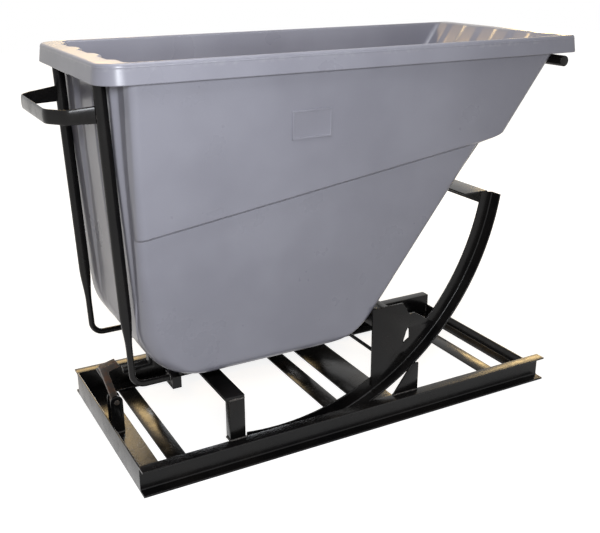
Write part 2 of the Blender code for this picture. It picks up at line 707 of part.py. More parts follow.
def ring(rear, front, half_width, rear_corner, front_corner, flute, z_at_rear, climb=(0.0, 0.0)):
    """One level of the tub's surface: a rounded rectangle with the bay in its rear side.

    A climbing level gives its rise per metre and the side walls' draft.
    """
    flank = min(FLUTE_HALF_WIDTH + FLUTE_FLANK, half_width - rear_corner)
    bay = flank - FLUTE_FLANK
    plan = [(rear, -flank), (rear + flute, -bay), (rear + flute, bay), (rear, flank)]
    quarter = math.pi / 2
    reach = half_width - rear_corner
    plan += arc((rear + rear_corner, reach), rear_corner, 2 * quarter, quarter, 6)
    reach = half_width - front_corner
    plan += arc((front - front_corner, reach), front_corner, quarter, 0, 4)
    plan += arc((front - front_corner, -reach), front_corner, 0, -quarter, 4)
    reach = half_width - rear_corner
    plan += arc((rear + rear_corner, -reach), rear_corner, -quarter, -2 * quarter, 6)
    rise, draft = climb
    lifts = [rise * (x - rear) for x, _ in plan]
    return [(x, y + math.copysign(draft * lift, y), z_at_rear + lift)
            for (x, y), lift in zip(plan, lifts)]


def flute_depth(z):
    """The bay in the rear wall runs out towards the bottom."""
    return FLUTE_DEPTH * (z - TUB_BOTTOM) / (RIM_TOP - TUB_BOTTOM)


def lower_rings():
    """Levels from the flat bottom up through the round of its rear edge."""
    turns = (0.0, 0.2, 0.38, 0.55, 0.72, 0.86, 1.0)
    levels = []
    for turn in turns:
        height = BOTTOM_REAR_RADIUS * (1 - math.cos(turn * math.pi / 2))
        z = TUB_BOTTOM + height
        share = height / (STEP_REAR_HEIGHT - TUB_BOTTOM)
        rear = LOWER_REAR_BOTTOM + (LOWER_REAR_STEP - LOWER_REAR_BOTTOM) * share
        rear += round_inset(height, BOTTOM_REAR_RADIUS)
        half_width = lower_half_width(z) - round_inset(height, BOTTOM_SIDE_RADIUS)
        flute = flute_depth(z) * height / BOTTOM_REAR_RADIUS
        levels.append(ring(rear, lower_front_x(z), half_width, BODY_REAR_CORNER,
                           BODY_FRONT_CORNER, flute, z))
    return levels


def step_ring(half_width, draft, rear, front_at_floor, z_at_rear):
    """A level that climbs with the moulded step."""
    slope = math.tan(SLOPE_ANGLE)
    front = (front_at_floor + (z_at_rear - STEP_RISE * rear) / slope) / (1 - STEP_RISE / slope)
    return ring(rear, front, half_width(z_at_rear), BODY_REAR_CORNER, BODY_FRONT_CORNER,
                flute_depth(z_at_rear), z_at_rear, (STEP_RISE, draft))


def rim_rings():
    """The wall top, then over and down the lip. The wall thickness lies outside the lip."""
    lip = TUB_WALL
    top = RIM_TOP - TUB_WALL
    low = RIM_TOP - RIM_DEPTH
    body = (BODY_REAR_TOP, upper_front_x(low), BODY_HALF_WIDTH_TOP)
    rim = (RIM_REAR + lip, RIM_FRONT - lip, RIM_HALF_WIDTH - lip)
    turn = RIM_ROUND
    bay = FLUTE_DEPTH
    return [
        ring(*body, BODY_REAR_CORNER, BODY_FRONT_CORNER, bay, low),
        ring(*body, BODY_REAR_CORNER, BODY_FRONT_CORNER, bay, top - turn),
        ring(body[0], body[1] + turn / 2, body[2], BODY_REAR_CORNER, BODY_FRONT_CORNER, bay, top),
        ring(rim[0] + turn, rim[1] - turn, rim[2] - turn, RIM_REAR_CORNER - lip - turn,
             RIM_FRONT_CORNER - turn, 0.0, top),
        ring(*rim, RIM_REAR_CORNER - lip, RIM_FRONT_CORNER, 0.0, top - turn),
        ring(*rim, RIM_REAR_CORNER - lip, RIM_FRONT_CORNER, 0.0, low),
    ]


def tub():
    """An open surface lofted through its levels, with Solidify for the wall."""
    levels = lower_rings()
    levels.append(step_ring(lower_half_width, LOWER_SIDE_DRAFT, LOWER_REAR_STEP,
                            SLOPE_FOOT, STEP_REAR_HEIGHT - STEP_HALF_HEIGHT))
    levels.append(step_ring(body_half_width, BODY_SIDE_DRAFT, BODY_REAR_STEP,
                            SLOPE_FOOT + STEP_FRONT, STEP_REAR_HEIGHT + STEP_HALF_HEIGHT))
    levels += rim_rings()
    mesh = bpy.data.meshes.new("tub")
    bm = bmesh.new()
    loops = [[bm.verts.new(point) for point in level] for level in levels]
    bm.faces.new(loops[0])
    for lower, upper in zip(loops, loops[1:]):
        count = len(lower)
        for i in range(count):
            j = (i + 1) % count
            bm.faces.new((lower[i], lower[j], upper[j], upper[i]))
    bmesh.ops.recalc_face_normals(bm, faces=bm.faces)
    lowest = min(bm.faces, key=lambda face: face.calc_center_median().z)
    if lowest.normal.z > 0:
        bmesh.ops.reverse_faces(bm, faces=bm.faces)
    bm.to_mesh(mesh)
    bm.free()
    shell = add("tub", mesh, roll_axis, grey_plastic)
    wall = shell.modifiers.new("wall", "SOLIDIFY")
    wall.thickness = TUB_WALL
    wall.offset = -1
    wall.use_quality_normals = True


def tub_plaque():
    """Plain moulded plate on the near side, leaning with the wall behind it."""
    middle = (PLAQUE_Z[0] + PLAQUE_Z[1]) / 2
    plaque = box("tub_plaque", PLAQUE_X, (-PLAQUE_THICK / 2, PLAQUE_THICK / 2), PLAQUE_Z,
                 roll_axis, grey_plastic)
    plaque.location.y = -body_half_width(middle) - SEAT - PLAQUE_THICK / 2
    plaque.rotation_euler.x = math.atan(BODY_SIDE_DRAFT)


def roll_plug():
    """Round plug on the far side wall, centred on the line that the hopper turns about."""
    top = ROLL_Z + ROLL_PLUG_RADIUS
    step_z = STEP_REAR_HEIGHT + STEP_RISE * (ROLL_X - BODY_REAR_STEP)
    half_width = body_half_width if top > step_z else lower_half_width
    wall = half_width(top) + SEAT
    half = ROLL_PLUG_THICK / 2
    profile = [(0, half), (ROLL_PLUG_RADIUS, half), (ROLL_PLUG_RADIUS, -half), (0, -half)]
    turned("roll_plug", profile, roll_axis, grey_plastic, (ROLL_X, wall + half, ROLL_Z))


# ---- the whole hopper ------------------------------------------------------------------
clear_scene()
rear_face = empty("rear_face", (-OVERALL_MIDDLE, 0, 0))
roll_axis = empty("roll_axis", (ROLL_X, 0, ROLL_Z), rear_face)
latch_axis = empty("latch_axis", (LATCH_PIVOT_X, LATCH_Y, LATCH_PIVOT_Z), rear_face)

both_sides(rail)
rear_angle()
cross_bars()
front_angle()
both_sides(track)
both_sides(saddle_post)
saddle_bar()
both_sides(guide_lug)

both_sides(latch_cheek)
latch_pin()
latch_hook()
latch_lever()
latch_axis.rotation_euler.y = -LATCH_RELEASED

both_sides(rocker)
both_sides(strut_plate)
lower_cross_angle()
top_cross_member()
cross_rod()
cradle_cross_bar()
both_sides(slope_tube)
front_bar()
both_sides(runner)
foot_bar()
both_sides(foot_block)
both_sides(upright)
push_handle()
latch_striker()

tub()
tub_plaque()
roll_plug()
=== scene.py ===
"""Looks of the self-dumping rocker hopper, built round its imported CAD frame.

Sizes are in metres. X, given as a distance from the base's rear face, runs to the dump end.
"""

import json
import math

import bmesh
import bpy
from mathutils import Matrix, Vector

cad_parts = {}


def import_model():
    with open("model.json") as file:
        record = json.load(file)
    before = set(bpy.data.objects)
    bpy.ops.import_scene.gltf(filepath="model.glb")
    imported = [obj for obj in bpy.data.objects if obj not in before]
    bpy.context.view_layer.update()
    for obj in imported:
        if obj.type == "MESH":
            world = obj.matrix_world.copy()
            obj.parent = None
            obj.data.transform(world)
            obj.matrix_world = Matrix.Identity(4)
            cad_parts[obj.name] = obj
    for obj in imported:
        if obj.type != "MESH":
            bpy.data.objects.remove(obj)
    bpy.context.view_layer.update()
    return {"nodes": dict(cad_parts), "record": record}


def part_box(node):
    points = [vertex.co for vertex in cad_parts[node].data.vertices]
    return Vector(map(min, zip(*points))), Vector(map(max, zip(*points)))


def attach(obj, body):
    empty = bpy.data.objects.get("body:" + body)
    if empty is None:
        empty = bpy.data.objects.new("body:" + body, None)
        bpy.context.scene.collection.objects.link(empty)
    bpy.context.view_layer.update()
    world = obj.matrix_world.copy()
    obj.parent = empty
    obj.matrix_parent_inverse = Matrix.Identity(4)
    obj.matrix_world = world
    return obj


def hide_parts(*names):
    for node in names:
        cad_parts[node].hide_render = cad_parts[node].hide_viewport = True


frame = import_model()

# ---- sizes shared with the frame ---------------------------------------------------------
SIDES = (("near", -1), ("far", 1))
REAR_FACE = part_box("near_rail")[0].x
ROLL_AXIS = Vector(next(joint for joint in frame["record"]["behaviour"]["joints"]
                        if joint["name"] == "roll")["pos_m"])

RAIL_WEB = 0.005
RAIL_FLANGE_THICK = 0.007
FLAT_THICK = 0.006

ROCKER_RADIUS = 0.967
ROCKER_WIDTH = 0.059
ROCKER_THICK = 0.006
ROCKER_REAR_ANGLE = math.radians(-7.6)
ROCKER_TOP_ANGLE = math.radians(81.6)

TUB_WALL = 0.008
TUB_BOTTOM = 0.338
RIM_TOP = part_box("tub")[1].z
RIM_LOW = 1.358
RIM_HALF_WIDTH = 0.404
RIM_REAR = -0.0325
RIM_FRONT = 1.812
RIM_REAR_CORNER = 0.085
RIM_FRONT_CORNER = 0.030
BODY_HALF_WIDTH_TOP = 0.385
BODY_SIDE_DRAFT = 0.030
LOWER_HALF_WIDTH_BOTTOM = 0.325
LOWER_SIDE_DRAFT = 0.052
BODY_REAR_STEP = 0.054
LOWER_REAR_STEP = 0.062
LOWER_REAR_BOTTOM = 0.075
REAR_TOP = 0.056
REAR_CORNER_TOP = 0.034
REAR_CORNER_BOTTOM = 0.075
BODY_FRONT_CORNER = 0.035
SLOPE_X = 0.997
SLOPE_Z = 0.472
SLOPE_ANGLE = math.radians(54.4)
BOTTOM_REAR_RADIUS = 0.200
BOTTOM_FRONT_RADIUS = 0.250
BOTTOM_SIDE_RADIUS = 0.040
STEP_REAR_HEIGHT = 0.869
STEP_RISE = 0.1366
STEP_HALF_HEIGHT = 0.012
STEP_FRONT = 0.083

TUBE_Y = 0.248
PIPE_RADIUS = 0.0167
UPRIGHT_TOP = (0.011, 1.396)
UPRIGHT_BEND = (0.046, 0.327)
UPRIGHT_BEND_RADIUS = 0.045
HANDLE_THICK = 0.009
HANDLE_ARM_TAPER = 0.0245
HANDLE_CORNER = (0.046, 0.058)
HANDLE_BEND_RADIUS = 0.050
HANDLE_FLARE = 0.011

# ---- details that only the looks have ----------------------------------------------------
SHARP_ANGLE = math.radians(32)
MERGE_DISTANCE = 0.00001
FLAT_ANGLE = math.radians(0.6)
ROUND_STEPS = 4
BEND_STEPS = 14
END_STEPS = 3
EDGE_STEPS = 5

# Edges of the steel, and the rounds at each corner of a section.
STEEL_EDGE = 0.0012
CUT_EDGE = 0.0007
RAIL_ROUNDS = (0.002, 0.0008, 0.003, 0.006, 0.006, 0.003, 0.0008, 0.002)
ANGLE_ROUNDS = (0.0015, 0.0008, 0.0025, 0.005, 0.0025, 0.0008)
ROCKER_ROUNDS = (0.0012, 0.002, 0.005, 0.002, 0.0012, 0.002)
ROCKER_STEPS = 120
BAR_END_REACH = 0.06        # a bar's end points all lie this near to one another
BAR_SIDES = 40

# An upright's pipe is oval above its neck and a round rod below it.
PIPE_SIDES = 36
UPRIGHT_DEPTH = 0.0205
UPRIGHT_EDGE = 0.0015
UPRIGHT_TOP_RINGS = (0.0, 0.001, 0.003)
ROD_RADIUS = 0.0112
NECK_TOP_Z = 0.600
NECK_LOW_Z = 0.462
NECK_STEPS = 14
HANDLE_SIDES = 48
HANDLE_CROWN = 0.85         # 1 is an oval section and 0 is a square one

# The tub's rear wall: a raised middle with two flutes, and corners that tighten with height.
REAR_PANEL_OUT = 0.0215
REAR_PANEL_HALF_WIDTH = 0.285
FLUTE_Y = 0.1125
FLUTE_HALF_WIDTH = 0.0375
FLUTE_DEPTH = 0.018
FLANK = 0.024               # how wide the sides of the raised middle and of the flutes are
REAR_CORNER_TURN = (0.45, 0.80)

# Its front slope: ribs that fade in over these heights above the bottom.
RIB_PITCH = 0.197
RIB_CREST_Y = 0.138
RIB_DEPTH = 0.012
RIB_FADE = (0.05, 0.25)

# Its sides: the raised panel above the step.
PANEL_CORNER = 0.022
PANEL_REAR = 0.058
PANEL_REAR_STEEPNESS = 2.0
PANEL_BORDER = 0.014

# Its rim: (drop, outward), (inset, drop) and (inset, rise) pairs, from its root to its hem.
RIM_ROOT = ((0.010, 0.0), (0.003, 0.0012), (0.0, 0.004))
RIM_UNDERSIDE = ((0.011, 0.0), (0.007, 0.004))
RIM_HEM = ((0.007, 0.003), (0.006, 0.0008), (0.0035, 0.0), (0.001, 0.0008), (0.0, 0.003))
RIM_DRAFT = 0.008
RIM_OUTER_EDGE = 0.010
RIM_INNER_EDGE = 0.009

# Its mesh: the name, count and crowding of each stretch round half the plan, and of its height.
COLUMNS = (("rear", 72, 1.0), ("rear_corner", 16, 1.0), ("side", 70, 1.5),
           ("front_corner", 8, 1.0), ("front", 36, 1.0))
ROWS = (("lower", 44, 1.7), ("step", 8, 1.0), ("upper", 26, 1.0))
FIRST_X = 0.5
SETTLE_STEPS = 8

PLAQUE_FRAME = 0.006
PLAQUE_BEVEL = 0.0015
PLAQUE_SUNK = 0.0014
PLAQUE_EDGE = 0.0005

WELD = 0.0042
SMALL_WELD = WELD * 0.8
THIN_WELD = WELD * 0.7
WELD_SIDES = 10
RIPPLE_PITCH = 0.0016
RIPPLE_DEPTH = 0.14
WANDER = 0.10
BEAD_END = 0.12
LAP_WELDS = 7
LAP_WELD_RISE = 0.030
LAP_WELD_END = 0.042
ANGLE_WELD_ENDS = (0.01, 0.004)
CRADLE_WELD = 0.03
HANDLE_WELD_REACH = 0.006
CROSS_ROD_RADIUS = 0.0085

# ---- studio ------------------------------------------------------------------------------
FLOOR_REACH = 14.0
FLOOR_GAP = 0.0005
FLOOR_GLOW = 0.86           # near the object, rising to 1 over the fade's distances
FLOOR_FADE = (1.2, 3.2)
DIM_SKY = (0.13, 0.125, 0.12)
WHITE = (1.0, 1.0, 1.0)
CAMERA_X, CAMERA_Y, CAMERA_Z = -0.6924, -2.8059, 1.7121
CAMERA_YAW, CAMERA_PITCH, CAMERA_ROLL = 0.4971, 0.3514, -0.0044
CAMERA_LENS = 51.24


def at(x, y, z):
    """A point of the row frame from its distance in front of the base's rear face."""
    return Vector((REAR_FACE + x, y, z))


def smooth(value, low, high):
    """0 at low and 1 at high, with an even start and end; high may lie below low."""
    t = min(1.0, max(0.0, (value - low) / (high - low)))
    return t * t * (3 - 2 * t)


def spaced(count, power=1.0):
    """Shares from 0 to 1, closer together near 0 when the power is above 1."""
    return [(i / count) ** power for i in range(count + 1)]


def circle(count):
    """Angles all the way round, without the last one."""
    return [2 * math.pi * i / count for i in range(count)]


# ---- materials ---------------------------------------------------------------------------
def mixed(tree, share, a, b):
    """Colour a, turning to colour b; either may be a colour or a socket."""
    node = tree.nodes.new("ShaderNodeMix")
    node.data_type = "RGBA"
    tree.links.new(share, node.inputs["Factor"])
    for socket, colour in (("A", a), ("B", b)):
        target = next(i for i in node.inputs if i.name == socket and i.type == "RGBA")
        if isinstance(colour, tuple):
            target.default_value = (*colour, 1.0)
        else:
            tree.links.new(colour, target)
    return next(o for o in node.outputs if o.type == "RGBA")


def seen_white(tree):
    """1 for camera, glossy and transmission rays, and 0 for the light that falls on the object."""
    path = tree.nodes.new("ShaderNodeLightPath")
    seen = path.outputs["Is Camera Ray"]
    for ray in ("Is Glossy Ray", "Is Transmission Ray"):
        either = tree.nodes.new("ShaderNodeMath")
        either.operation = "MAXIMUM"
        tree.links.new(seen, either.inputs[0])
        tree.links.new(path.outputs[ray], either.inputs[1])
        seen = either.outputs["Value"]
    return seen


class Look:
    """A node material put together step by step."""

    def __init__(self, name):
        self.material = bpy.data.materials.new(name)
        self.material.use_nodes = True
        self.tree = self.material.node_tree
        self.shader = self.tree.nodes["Principled BSDF"]
        self.place = self.tree.nodes.new("ShaderNodeTexCoord").outputs["Object"]

    def link(self, source, target):
        self.tree.links.new(source, target)

    def noise(self, scale, detail, roughness=0.55):
        node = self.tree.nodes.new("ShaderNodeTexNoise")
        node.inputs["Scale"].default_value = scale
        node.inputs["Detail"].default_value = detail
        node.inputs["Roughness"].default_value = roughness
        self.link(self.place, node.inputs["Vector"])
        return node.outputs["Fac"]

    def spread(self, value, low, high, to_low=0.0, to_high=1.0):
        node = self.tree.nodes.new("ShaderNodeMapRange")
        node.interpolation_type = "SMOOTHSTEP"
        limits = zip(("From Min", "From Max", "To Min", "To Max"), (low, high, to_low, to_high))
        for socket, limit in limits:
            node.inputs[socket].default_value = limit
        self.link(value, node.inputs["Value"])
        return node.outputs["Result"]

    def times(self, a, b):
        node = self.tree.nodes.new("ShaderNodeMath")
        node.operation = "MULTIPLY"
        self.link(a, node.inputs[0])
        self.link(b, node.inputs[1])
        return node.outputs["Value"]

    def edge(self, radius):
        """About 1 on edges and 0 on flats."""
        bevel = self.tree.nodes.new("ShaderNodeBevel")
        bevel.samples = 4
        bevel.inputs["Radius"].default_value = radius
        geometry = self.tree.nodes.new("ShaderNodeNewGeometry")
        dot = self.tree.nodes.new("ShaderNodeVectorMath")
        dot.operation = "DOT_PRODUCT"
        self.link(bevel.outputs["Normal"], dot.inputs[0])
        self.link(geometry.outputs["Normal"], dot.inputs[1])
        return self.spread(dot.outputs["Value"], 0.995, 0.90)

    def mix(self, share, a, b):
        return mixed(self.tree, share, a, b)

    def bump(self, height, strength, distance, under=None):
        node = self.tree.nodes.new("ShaderNodeBump")
        node.inputs["Strength"].default_value = strength
        node.inputs["Distance"].default_value = distance
        self.link(height, node.inputs["Height"])
        if under:
            self.link(under, node.inputs["Normal"])
        return node.outputs["Normal"]

    def set(self, **values):
        for socket, value in values.items():
            target = self.shader.inputs[socket.replace("_", " ")]
            if isinstance(value, bpy.types.NodeSocket):
                self.link(value, target)
            elif isinstance(value, tuple):
                target.default_value = (*value, 1.0)
            else:
                target.default_value = value
        return self.material


def moulded_plastic():
    look = Look("grey_plastic")
    clouds = look.spread(look.noise(2.2, 3.0), 0.35, 0.65)
    colour = look.mix(clouds, (0.266, 0.264, 0.308), (0.310, 0.308, 0.356))
    flecks = look.spread(look.noise(420.0, 2.0), 0.60, 0.75, 0.0, 0.25)
    colour = look.mix(flecks, colour, (0.42, 0.42, 0.45))
    scuffs = look.times(look.edge(0.006), look.spread(look.noise(38.0, 5.0), 0.45, 0.70, 0.0, 0.18))
    colour = look.mix(scuffs, colour, (0.50, 0.50, 0.52))
    grain = look.bump(look.noise(650.0, 2.0), 0.10, 0.0006)
    waves = look.bump(look.noise(9.0, 2.0), 0.25, 0.004, grain)
    gloss = look.spread(look.noise(5.0, 4.0), 0.3, 0.7, 0.27, 0.32)
    return look.set(Base_Color=colour, Roughness=gloss, Normal=waves, Specular_IOR_Level=0.5)


def painted_steel():
    look = Look("black_steel")
    clouds = look.spread(look.noise(6.0, 4.0), 0.35, 0.65)
    colour = look.mix(clouds, (0.0035, 0.0033, 0.0035), (0.007, 0.0062, 0.0058))
    dust = look.spread(look.noise(24.0, 6.0, 0.65), 0.60, 0.78, 0.0, 0.22)
    colour = look.mix(dust, colour, (0.030, 0.024, 0.019))
    wear = look.times(look.edge(0.0022), look.spread(look.noise(70.0, 5.0), 0.50, 0.66, 0.0, 0.55))
    colour = look.mix(wear, colour, (0.16, 0.13, 0.10))
    gloss = look.spread(look.noise(12.0, 5.0, 0.6), 0.3, 0.72, 0.18, 0.30)
    runs = look.bump(look.noise(30.0, 3.0), 0.18, 0.002)
    peel = look.bump(look.noise(300.0, 2.0), 0.08, 0.0005, runs)
    return look.set(Base_Color=colour, Roughness=gloss, Normal=peel, Specular_IOR_Level=0.22)


def worn_steel():
    look = Look("bare_steel")
    rust = look.spread(look.noise(45.0, 6.0, 0.65), 0.42, 0.62)
    colour = look.mix(rust, (0.050, 0.042, 0.036), (0.085, 0.042, 0.024))
    bright = look.times(look.edge(0.003), look.spread(look.noise(90.0, 4.0), 0.4, 0.6, 0.0, 0.7))
    colour = look.mix(bright, colour, (0.34, 0.30, 0.26))
    gloss = look.spread(look.noise(60.0, 5.0), 0.3, 0.7, 0.34, 0.62)
    pits = look.bump(look.noise(160.0, 5.0), 0.35, 0.0012)
    return look.set(Base_Color=colour, Roughness=gloss, Normal=pits, Metallic=0.25)


def weld_metal():
    look = Look("weld")
    soot = look.spread(look.noise(70.0, 5.0), 0.40, 0.60)
    colour = look.mix(soot, (0.055, 0.048, 0.042), (0.012, 0.011, 0.011))
    spatter = look.spread(look.noise(260.0, 3.0), 0.60, 0.72, 0.0, 0.7)
    colour = look.mix(spatter, colour, (0.42, 0.38, 0.33))
    gloss = look.spread(look.noise(120.0, 3.0), 0.3, 0.7, 0.26, 0.46)
    rough = look.bump(look.noise(400.0, 3.0), 0.25, 0.0008)
    return look.set(Base_Color=colour, Roughness=gloss, Normal=rough)


def white_floor():
    look = Look("floor")
    clouds = look.spread(look.noise(1.5, 2.0), 0.3, 0.7)
    tone = look.mix(clouds, (0.44, 0.44, 0.44), (0.46, 0.46, 0.46))
    look.set(Base_Color=tone, Roughness=0.9, Specular_IOR_Level=0.1, Emission_Color=WHITE)
    distance = look.tree.nodes.new("ShaderNodeVectorMath")
    distance.operation = "LENGTH"
    look.link(look.place, distance.inputs[0])
    far_white = look.spread(distance.outputs["Value"], *FLOOR_FADE, FLOOR_GLOW, 1.0)
    glow = look.times(seen_white(look.tree), far_white)
    look.link(glow, look.shader.inputs["Emission Strength"])
    return look.material


PLASTIC = moulded_plastic()
STEEL = painted_steel()
WORN = worn_steel()
WELDED = weld_metal()


# ---- mesh helpers ------------------------------------------------------------------------
def piece(name, bm, material, body, slot, *nodes):
    """Make one visible piece from a bmesh and tie it to the frame."""
    mesh = bpy.data.meshes.new(name)
    bmesh.ops.recalc_face_normals(bm, faces=bm.faces)
    bm.to_mesh(mesh)
    bm.free()
    mesh.shade_smooth()
    mesh.set_sharp_from_angle(angle=SHARP_ANGLE)
    mesh.materials.append(material)
    item = bpy.data.objects.new(name, mesh)
    bpy.context.scene.collection.objects.link(item)
    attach(item, body)
    if nodes:
        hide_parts(*nodes)


def soften(bm, width, segments=2, sharper_than=30):
    """Round every edge that is sharper than an angle in degrees."""
    limit = math.radians(sharper_than)
    edges = [e for e in bm.edges if e.is_manifold and e.calc_face_angle(0.0) > limit]
    bmesh.ops.bevel(bm, geom=edges, offset=width, segments=segments, profile=0.5,
                    affect="EDGES", clamp_overlap=True)


def ease_cuts(bm):
    """Take the sharpness off the square-cut ends of a rolled section."""
    soften(bm, CUT_EDGE, segments=1, sharper_than=60)


def cad_copy(node):
    """The CAD node's mesh as one closed surface, without the seams between its triangles."""
    bm = bmesh.new()
    bm.from_mesh(frame["nodes"][node].data)
    bmesh.ops.remove_doubles(bm, verts=bm.verts, dist=MERGE_DISTANCE)
    bmesh.ops.dissolve_limit(bm, angle_limit=FLAT_ANGLE, verts=bm.verts, edges=bm.edges)
    return bm


def softened(node, body, material, slot, width=STEEL_EDGE, segments=2):
    """A CAD node's own shape with its edges rounded."""
    bm = cad_copy(node)
    soften(bm, width, segments)
    piece(f"{node}_body", bm, material, body, slot, node)


def skin(bm, rings, closed=False):
    """Faces between rings of points; the first and last ring are capped unless closed."""
    rows = [[bm.verts.new(point) for point in ring] for ring in rings]
    pairs = list(zip(rows, rows[1:]))
    if closed:
        pairs.append((rows[-1], rows[0]))
    for lower, upper in pairs:
        count = len(lower)
        for i in range(count):
            j = (i + 1) % count
            bm.faces.new((lower[i], lower[j], upper[j], upper[i]))
    if not closed:
        bm.faces.new(rows[0][::-1])
        bm.faces.new(rows[-1])


def arc(before, corner, after, radius, steps):
    """The points of a round bend in place of a corner."""
    into = (corner - before).normalized()
    out = (after - corner).normalized()
    turn = into.angle(out)
    reach = radius * math.tan(turn / 2)
    side = (out - into * into.dot(out)).normalized()
    centre = corner - into * reach + side * radius
    turns = [turn * step / steps for step in range(steps + 1)]
    return [centre - side * radius * math.cos(a) + into * radius * math.sin(a) for a in turns]


def rounded(corners, radii):
    """A closed outline with an arc of its own radius at each corner."""
    points = [Vector(corner) for corner in corners]
    outline = []
    for i, radius in enumerate(radii):
        outline += arc(points[i - 1], points[i], points[(i + 1) % len(points)], radius, ROUND_STEPS)
    return outline


def bend(corners, radius):
    """A route through the corners with a round bend at each inner one."""
    route = [corners[0]]
    for before, corner, after in zip(corners, corners[1:], corners[2:]):
        route += arc(before, corner, after, radius, BEND_STEPS)
    return [*route, corners[-1]]


def neighbours(path):
    """Each point of a path with the ones before and after it; an end stands in past itself."""
    return zip([path[0], *path], path, [*path[1:], path[-1]])


def frames_along(path):
    """For each point of a path, two directions across it that don't twist."""
    across = None
    for before, here, after in neighbours(path):
        along = (after - before).normalized()
        if across is None:
            across = along.orthogonal().normalized()
        across = (across - along * across.dot(along)).normalized()
        yield here, across, along.cross(across)


def oval(centre, u, v, wide, deep, count):
    """A ring of points with a half size along each of two directions."""
    return [centre + u * wide * math.cos(a) + v * deep * math.sin(a) for a in circle(count)]


def round_skin(bm, path, radii, sides):
    """A round bar along a path, with a radius of its own at each point."""
    sections = zip(frames_along(path), radii)
    skin(bm, [oval(here, u, v, radius, radius, sides) for (here, u, v), radius in sections])


def rounded_end(radius):
    """(distance from the end, radius) pairs over a bar's rounded end."""
    turns = [math.pi / 2 * i / END_STEPS for i in range(END_STEPS, -1, -1)]
    return [(STEEL_EDGE * (1 - math.sin(a)), radius - STEEL_EDGE * (1 - math.cos(a)))
            for a in turns]


# ---- plain steel pieces ------------------------------------------------------------------
def channel_rail(label, side):
    """A channel section along X with its flanges outward."""
    low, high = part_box(f"{label}_rail")
    back, tip = sorted((low.y, high.y), key=abs)
    web = back + side * RAIL_WEB
    under = RAIL_FLANGE_THICK
    over = high.z - RAIL_FLANGE_THICK
    corners = [(back, 0), (tip, 0), (tip, under), (web, under),
               (web, over), (tip, over), (tip, high.z), (back, high.z)]
    section = rounded(corners, RAIL_ROUNDS)
    bm = bmesh.new()
    skin(bm, [[Vector((x, y, z)) for y, z in section] for x in (low.x, high.x)])
    ease_cuts(bm)
    piece(f"{label}_rail_body", bm, STEEL, "base", "black_steel", f"{label}_rail")


def angle_iron(node, body, upright_at_front, flat_leg_on_top):
    """An angle section along Y with a rounded root."""
    low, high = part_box(node)
    face, toe = (high.x, low.x) if upright_at_front else (low.x, high.x)
    level, tip = (high.z, low.z) if flat_leg_on_top else (low.z, high.z)
    inward = math.copysign(FLAT_THICK, toe - face)
    down = math.copysign(FLAT_THICK, tip - level)
    corners = [(face, level), (toe, level), (toe, level + down),
               (face + inward, level + down), (face + inward, tip), (face, tip)]
    section = rounded(corners, ANGLE_ROUNDS)
    bm = bmesh.new()
    skin(bm, [[Vector((x, y, z)) for x, z in section] for y in (low.y, high.y)])
    ease_cuts(bm)
    piece(f"{node}_body", bm, STEEL, body, "black_steel", node)


def rocker(label, side):
    """An angle section bent to the rolling arc, with its flange outward."""
    low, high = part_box(f"{label}_rocker")
    web_in, tip = sorted((low.y, high.y), key=abs)
    web_out = web_in + side * ROCKER_THICK
    inner = ROCKER_RADIUS - ROCKER_WIDTH
    flange = ROCKER_RADIUS - ROCKER_THICK
    corners = [(web_in, inner), (web_out, inner), (web_out, flange),
               (tip, flange), (tip, ROCKER_RADIUS), (web_in, ROCKER_RADIUS)]
    section = rounded(corners, ROCKER_ROUNDS)
    rings = []
    for i in range(ROCKER_STEPS + 1):
        a = ROCKER_REAR_ANGLE + (ROCKER_TOP_ANGLE - ROCKER_REAR_ANGLE) * i / ROCKER_STEPS
        rings.append([ROLL_AXIS + Vector((r * math.sin(a), y, -r * math.cos(a)))
                      for y, r in section])
    bm = bmesh.new()
    skin(bm, rings)
    ease_cuts(bm)
    piece(f"{label}_rocker_body", bm, STEEL, "hopper", "black_steel", f"{label}_rocker")


def straight_bar(node, body):
    """A smooth round bar with eased ends, on the axis of a CAD bar."""
    bm = cad_copy(node)
    points = [v.co.copy() for v in bm.verts]
    bm.free()
    middle = sum(points, Vector()) / len(points)
    farthest = max(points, key=lambda p: (p - middle).length)
    end_points = [p for p in points if (p - farthest).length < BAR_END_REACH]
    start = sum(end_points, Vector()) / len(end_points)
    along = (middle - start).normalized()
    length = 2 * (middle - start).length
    radius = max((p - start - along * (p - start).dot(along)).length for p in points)
    ease = rounded_end(radius)
    path = [start + along * d for d, _ in ease]
    path += [start + along * (length - d) for d, _ in ease[::-1]]
    radii = [r for _, r in ease]
    bm = bmesh.new()
    round_skin(bm, path, radii + radii[::-1], BAR_SIDES)
    piece(f"{node}_body", bm, STEEL, body, "black_steel", node)


def upright_x(z):
    """The centre line of the uprights above their bend."""
    share = (z - UPRIGHT_BEND[1]) / (UPRIGHT_TOP[1] - UPRIGHT_BEND[1])
    return UPRIGHT_BEND[0] + (UPRIGHT_TOP[0] - UPRIGHT_BEND[0]) * share


